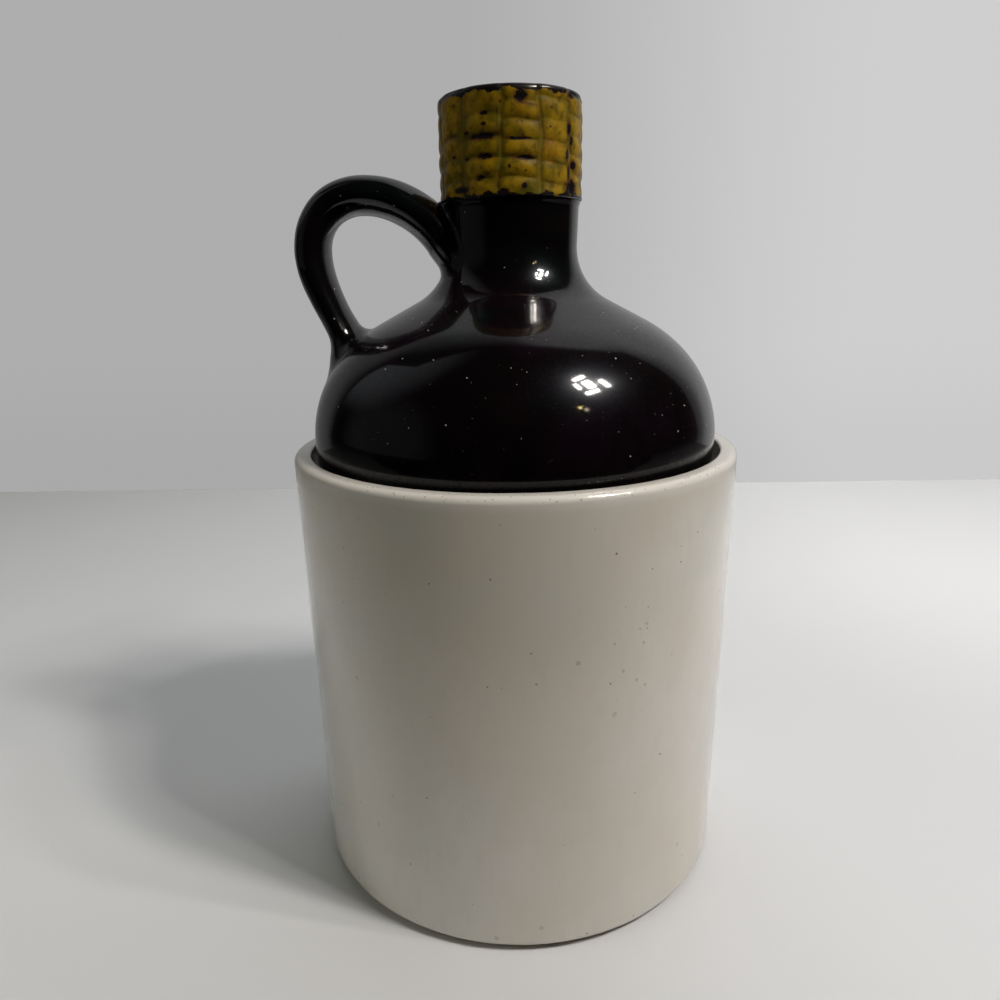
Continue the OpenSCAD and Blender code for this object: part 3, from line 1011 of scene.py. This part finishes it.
def make_corn_glaze():
    """Mustard paint with olive, brown in the hollows that is partly painted shade, gold crowns that are
    partly a painted highlight, ragged and chipped over brown-black.
    """
    corn_mustard = (0.165, 0.102, 0.001, 1)
    corn_gold_and_highlight = (0.31, 0.190, 0.004, 1)
    corn_olive = (0.075, 0.066, 0.003, 1)
    corn_brown = (0.055, 0.022, 0.002, 1)
    corn_orange = (0.24, 0.120, 0.003, 1)
    corn_pale = (0.29, 0.210, 0.035, 1)
    corn_rust = (0.070, 0.016, 0.002, 1)
    under_black = (0.0075, 0.0050, 0.0050, 1)
    paint_foot = collar_z + 0.0011
    paint_top = cob_top_z - 0.0026
    bare_line = collar_z - 0.0012
    pinhole_spacing = 0.0028
    pinhole_share = 0.4
    paint_t = 0.00012
    swell_height = 0.0004
    swell_power = 2.0
    groove_wear = 0.62
    wear_from = 0.52

    material, shader, place, parts = start_material("corn_glaze")
    tree = material.node_tree
    up = parts["Z"]
    groove, seam, border, ripe, chip = [
        node(tree, "Attribute", attribute_name=name).outputs["Fac"]
        for name in ("groove", "seam", "border", "ripe", "chip")
    ]
    worn_place = shifted(place, (0.7, 0.4, 0.2))
    orange_place = shifted(place, (0.3, 0.9, 0.1))
    stain_place = shifted(place, (0.2, 0.1, 0.6))

    # Each kernel's own tone, from olive to orange with how ripe it is, and gold on its crown that is
    # partly the paint's tone and partly a painted highlight
    olive = mottle(place, size=0.006, low=0.38, high=0.58)
    olive = times(olive, between(ripe, at_none=0.95, at_full=0.5))
    colour = lay_over(olive, corn_mustard, corn_olive)
    unripe = mottle(worn_place, size=0.006, low=0.3, high=0.55)
    unripe = times(unripe, smooth_step(ripe, low=0.5, high=0.15))
    colour = lay_over(unripe, colour, corn_olive, strength=0.7)
    orange = mottle(orange_place, size=0.006, low=0.45, high=0.68)
    orange = times(orange, between(ripe, at_none=0.2, at_full=0.9))
    colour = lay_over(orange, colour, corn_orange)
    # The gold on the crowns is partly the paint's tone and partly a painted highlight
    gold_and_painted_highlight = mottle(orange_place, size=0.004, low=0.36, high=0.6)
    gold_and_painted_highlight = times(gold_and_painted_highlight, smooth_step(border, low=0.45, high=0.05))
    colour = lay_over(gold_and_painted_highlight, colour, corn_gold_and_highlight, strength=0.7)

    # Brown round each kernel's border, partly where the paint ran thin and partly painted shade in the
    # hollows between kernels, pale on the seams' ridges, and rust round chips and pinholes
    # This brown border mask is partly thin paint and partly painted shade
    thin = mottle(stain_place, size=0.005, low=0.42, high=0.66)
    thin = times(thin, smooth_step(border, low=0.1, high=0.8))
    colour = lay_over(thin, colour, corn_brown, strength=0.75)
    stain = mottle(stain_place, size=0.0025, low=0.54, high=0.70)
    colour = lay_over(stain, colour, corn_brown, strength=0.6)
    ridge = mottle(worn_place, size=0.006, low=0.35, high=0.6)
    ridge = times(ridge, smooth_step(seam, low=0.2, high=0.9))
    colour = lay_over(ridge, colour, corn_pale, strength=0.28)
    halo = specks(place, spacing=pinhole_spacing, share=pinhole_share, radius=0.0008)
    halo = most(halo, smooth_step(chip, low=0.1, high=0.5))
    colour = lay_over(halo, colour, corn_rust, strength=0.7)
    pinholes = specks(place, spacing=pinhole_spacing, share=pinhole_share, radius=0.0004)
    colour = lay_over(pinholes, colour, under_black, strength=0.9)

    # Where the paint is gone: at the chips, along some grooves, and at both ragged ends
    in_groove = mottle(worn_place, size=0.005, low=0.56, high=0.72)
    in_groove = times(times(in_groove, groove), groove_wear)
    missing = minus(most(chip, in_groove), wear_from)
    missing = ragged(place, value=missing, size=0.0014, depth=0.42, soft=0.05)
    ends = most(minus(paint_foot, up), minus(up, paint_top))
    ends = ragged(place, value=ends, size=0.0045, depth=0.0016, soft=0.0002)
    missing = most(missing, ends)
    colour = lay_over(missing, colour, under_black)
    bare, colour, clay_height = bare_below(place, up, bare_line, colour, size=0.004)

    paint = inverse(missing)
    height = plus(grain(place, size=0.0013, depth=0.00003), times(paint, paint_t))
    height = plus(height, clay_height)
    swell = calc("POWER", inverse(border), swell_power)
    height = plus(height, times(swell, swell_height))
    roughness = between(bare, at_none=0.5, at_full=0.88)
    coat = times(inverse(bare), between(missing, at_none=0.32, at_full=0.9))
    set_gloss(shader, body_level=0.08, coat_roughness=0.17, coat_ior=1.4)
    connect(shader, colour, roughness, coat, height)
    return material


cob.data.materials.append(make_corn_glaze())
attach(cob, "stopper")
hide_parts("corncob_stopper")


# The floor and the backdrop
# A plain pale floor, and behind the jar a pale sheet that leans over it at the top, large
# enough for the black glaze to mirror it on both shoulders. In front the pale floor ends and
# the room is dark, which only the glaze shows.
floor_half = 2.5
floor_front_y = -0.24
floor_colour = (0.66, 0.685, 0.72, 1)
floor_sunlit = (0.86, 0.89, 0.92, 1)
floor_edge_w = 0.02
floor_dark_from = Vector((0, 0.3, 0))
floor_mirror_dark = 0.9
backdrop_y = 0.66
backdrop_half_w = 1.35
backdrop_lean_z = 1.5
backdrop_top = 2.0
backdrop_top_y = 0.25
backdrop_bend_r = 0.12
backdrop_foot_sink = 0.001
backdrop_left_tone = 0.42
backdrop_right_tone = 0.62
backdrop_fade = (-0.10, 0.42)
backdrop_corner_power = 3.0
pale = 0.50


def make_sheet(name, outline, half_w):
    """A sheet across X through points of (y, z)."""
    vertices = [(x, y, z) for y, z in outline for x in (-half_w, half_w)]
    faces = [(2 * i, 2 * i + 1, 2 * i + 3, 2 * i + 2) for i in range(len(outline) - 1)]
    sheet = skin_object(name, vertices, faces)
    return sheet


def show_either(mask, shader, glow):
    """The surface is the shader where the mask is 0 and the glow where it is 1."""
    tree = shader.id_data
    either = node(tree, "MixShader", {0: mask, 1: shader.outputs[0], 2: glow.outputs[0]})
    tree.links.new(either.outputs[0], tree.nodes["Material Output"].inputs["Surface"])


def make_floor_material():
    """Matt white and sunlit at the back on the right, fading into the room and, sooner, in the glaze.

    Past its front edge it is dark for every ray but the camera's.
    """
    material, shader, place, parts = start_material("floor_white")
    tree = material.node_tree
    on_right = smooth_step(parts["X"], low=0.0, high=0.35)
    at_back = smooth_step(parts["Y"], low=-0.05, high=0.3)
    colour = lay_over(times(on_right, at_back), floor_colour, floor_sunlit)
    light_path = node(tree, "LightPath")
    seen = light_path.outputs["Is Camera Ray"]
    forward = times(parts["Y"], -1.0)
    beyond = smooth_step(forward, -floor_front_y, -floor_front_y + floor_edge_w)
    dark = times(beyond, inverse(seen))
    away = distance_to(place, floor_dark_from)
    far = smooth_step(away, low=0.34, high=0.75)
    far = times(far, light_path.outputs["Is Glossy Ray"])
    dark = most(dark, times(far, floor_mirror_dark))
    tree.links.new(lay_over(dark, colour, (0, 0, 0, 1)), shader.inputs["Base Color"])
    shader.inputs["Roughness"].default_value = 0.9
    shader.inputs["Specular IOR Level"].default_value = 0.0
    glow = node(tree, "Emission", {"Color": (pale, pale, pale, 1)})
    horizon = times(smooth_step(away, low=0.75, high=1.6), seen)
    show_either(horizon, shader, glow)
    return material


def make_backdrop_material():
    """Pale, with painted shade that makes it darker to the left. A ray that shows it sees this tone, and
    not the lamps' light on it.
    """
    material, shader, place, parts = start_material("backdrop_white")
    tree = material.node_tree
    shader.inputs["Base Color"].default_value = (pale, pale, pale, 1)
    shader.inputs["Specular IOR Level"].default_value = 0.0
    light_path = node(tree, "LightPath")
    seen = light_path.outputs["Is Camera Ray"]
    # Painted shade: the sheet is darker to the left, away from the window, and a touch darker low down
    fade = smooth_step(parts["X"], *backdrop_fade)
    tone = between(fade, backdrop_left_tone, backdrop_right_tone)
    low_down = smooth_step(parts["Z"], low=0.16, high=0.0)
    tone = times(tone, between(low_down, at_none=1.0, at_full=0.95))

    # The glaze mirrors it dimmer, most of all low down and far to the sides
    high_up = smooth_step(parts["Z"], low=0.6, high=1.2)
    far_right = smooth_step(parts["X"], low=0.72, high=1.15)
    far_left = smooth_step(parts["X"], low=-0.1, high=-0.65)
    mirrored = between(high_up, at_none=0.62, at_full=0.8)
    mirrored = times(mirrored, between(far_right, at_none=1.0, at_full=0.32))
    mirrored = times(mirrored, between(far_left, at_none=1.0, at_full=0.5))
    tone = times(tone, between(seen, mirrored, 1.0))

    # Its rounded outline is soft for every ray but the camera's
    wide = calc("ABSOLUTE", calc("DIVIDE", parts["X"], backdrop_half_w))
    tall = calc("DIVIDE", parts["Z"], backdrop_top)
    corner = backdrop_corner_power
    reach = plus(calc("POWER", wide, corner), calc("POWER", tall, corner))
    soft_side = smooth_step(parts["X"], low=-0.3, high=0.3)
    soft_from = between(soft_side, at_none=0.2, at_full=0.8)
    soft_edge = most(smooth_step(reach, 1.0, soft_from), seen)
    glow = node(tree, "Emission", {"Color": (1, 1, 1, 1), "Strength": times(tone, soft_edge)})
    shown = most(seen, light_path.outputs["Is Glossy Ray"])
    shown = most(shown, light_path.outputs["Is Transmission Ray"])
    show_either(shown, shader, glow)
    return material


floor = make_sheet("floor", [(-floor_half, 0), (floor_half, 0)], floor_half)
floor.data.materials.append(make_floor_material())
bend = arc(backdrop_y - backdrop_bend_r, backdrop_bend_r - backdrop_foot_sink, backdrop_bend_r, -90, 0)
backdrop_outline = [p[:2] for p in bend]
backdrop_outline += [(backdrop_y, backdrop_lean_z), (backdrop_top_y, backdrop_top)]
backdrop = make_sheet("backdrop", backdrop_outline, backdrop_half_w)
backdrop.data.materials.append(make_backdrop_material())


# The light
# A window stands high on the right and a little in front, one bright pane with a bar of sky on
# each side of it, and two small warm bulbs hang below it. Large soft lamps fill the shade, and
# aren't mirrored in the glaze.
aim = Vector((0, 0, 0.19))


def make_lamp(name, direction_to, distance, size, power, colour, mirrored):
    """A rectangular lamp that faces the jar."""
    data = bpy.data.lights.new(name, "AREA")
    data.shape = "RECTANGLE"
    data.size, data.size_y = size
    data.energy = power
    data.color = colour
    lamp = bpy.data.objects.new(name, data)
    lamp.visible_glossy = mirrored
    away = Vector(direction_to).normalized()
    lamp.location = aim + away * distance
    lamp.rotation_mode = "QUATERNION"
    lamp.rotation_quaternion = away.to_track_quat("Z", "Y")
    bpy.context.scene.collection.objects.link(lamp)
    return lamp


window_way = Vector((0.554, -0.316, 0.7705)).normalized()
window_distance = 1.1
window_power = 10.9
window_colour = (1.0, 0.925, 0.85)
# Each pane: how far it lies forwards and up from the middle one, and its size those ways
window_panes = (
    (0, 0, 0.080, 0.116), (0.010, 0.126, 0.130, 0.036), (0.049, -0.113, 0.150, 0.040),
    (-0.140, -0.061, 0.040, 0.130), (0.119, 0.027, 0.032, 0.092),
)
window_across = window_way.cross(Vector((0, 0, 1))).normalized()
window_up = window_across.cross(window_way)
window_area = sum(wide * tall for _, _, wide, tall in window_panes)


def window_place(forwards, up):
    """The way to a point in the window's plane."""
    return window_way * window_distance + window_across * forwards + window_up * up


for i, (forwards, up, wide, tall) in enumerate(window_panes):
    way = window_place(forwards, up)
    power = window_power * wide * tall / window_area
    make_lamp(f"window_pane_{i + 1}", way, way.length, (wide, tall), power, window_colour, mirrored=True)
# Each bulb: the same two distances, its size, its power and its colour
for name, forwards, up, size, power, colour in (
    ("bulb_left", 0.326, -0.268, 0.030, 0.10, (1.0, 0.78, 0.30)),
    ("bulb_right", 0.280, -0.324, 0.040, 0.06, (1.0, 0.80, 0.62)),
):
    way = window_place(forwards, up)
    make_lamp(name, way, way.length, (size, size), power, colour, mirrored=True)

# Each soft lamp: the way to it, its distance, size, power and colour
for name, way, distance, size, power, colour in (
    ("left_fill", (-0.85, -0.35, 0.45), 1.4, (1.0, 1.0), 3.1, (1.0, 0.97, 0.78)),
    ("right_fill", (0.95, 0.15, 0.30), 1.3, (0.9, 0.9), 1.3, (0.80, 0.88, 1.0)),
    ("back_fill", (0.1, 0.9, 0.9), 1.0, (1.2, 0.8), 9.0, (0.97, 0.985, 1.0)),
):
    make_lamp(name, way, distance, size, power, colour, mirrored=False)

world = bpy.data.worlds.new("room")
bpy.context.scene.world = world
world.use_nodes = True
sky = world.node_tree
sky.nodes.clear()
sky_path = node(sky, "LightPath")
glossy = sky_path.outputs["Is Glossy Ray"]
dim_colour = (0.012, 0.011, 0.010, 1)
wall_colour = (0.90, 0.97, 1.0, 1)
dim_light = between(glossy, at_none=1.0, at_full=0.2)
dim_room = node(sky, "Background", {"Color": dim_colour, "Strength": dim_light})
ray_way = node(sky, "TexCoord").outputs["Generated"]


def wall_glow(way, low, high, strength):
    """The soft-edged light of a pale wall that lies that way, which only the glaze shows."""
    sockets = {0: ray_way, 1: Vector(way).normalized()}
    facing = node(sky, "VectorMath", sockets, operation="DOT_PRODUCT").outputs["Value"]
    return times(smooth_step(facing, low, high), times(glossy, strength))


far_wall = wall_glow((-0.62, 0.35, 0.70), low=0.82, high=1.0, strength=0.235)
side_wall = wall_glow((-0.96, -0.25, 0.10), low=0.80, high=0.97, strength=0.06)
walls = node(sky, "Background", {"Color": wall_colour, "Strength": plus(far_wall, side_wall)})
lit_room = node(sky, "AddShader", {0: dim_room.outputs[0], 1: walls.outputs[0]})
pale_room = node(sky, "Background", {"Color": (pale, pale, pale, 1)})
sockets = {0: sky_path.outputs["Is Camera Ray"], 1: lit_room.outputs[0], 2: pale_room.outputs[0]}
room = node(sky, "MixShader", sockets)
node(sky, "OutputWorld", {"Surface": room.outputs[0]})
bpy.context.scene.view_settings.view_transform = "Standard"
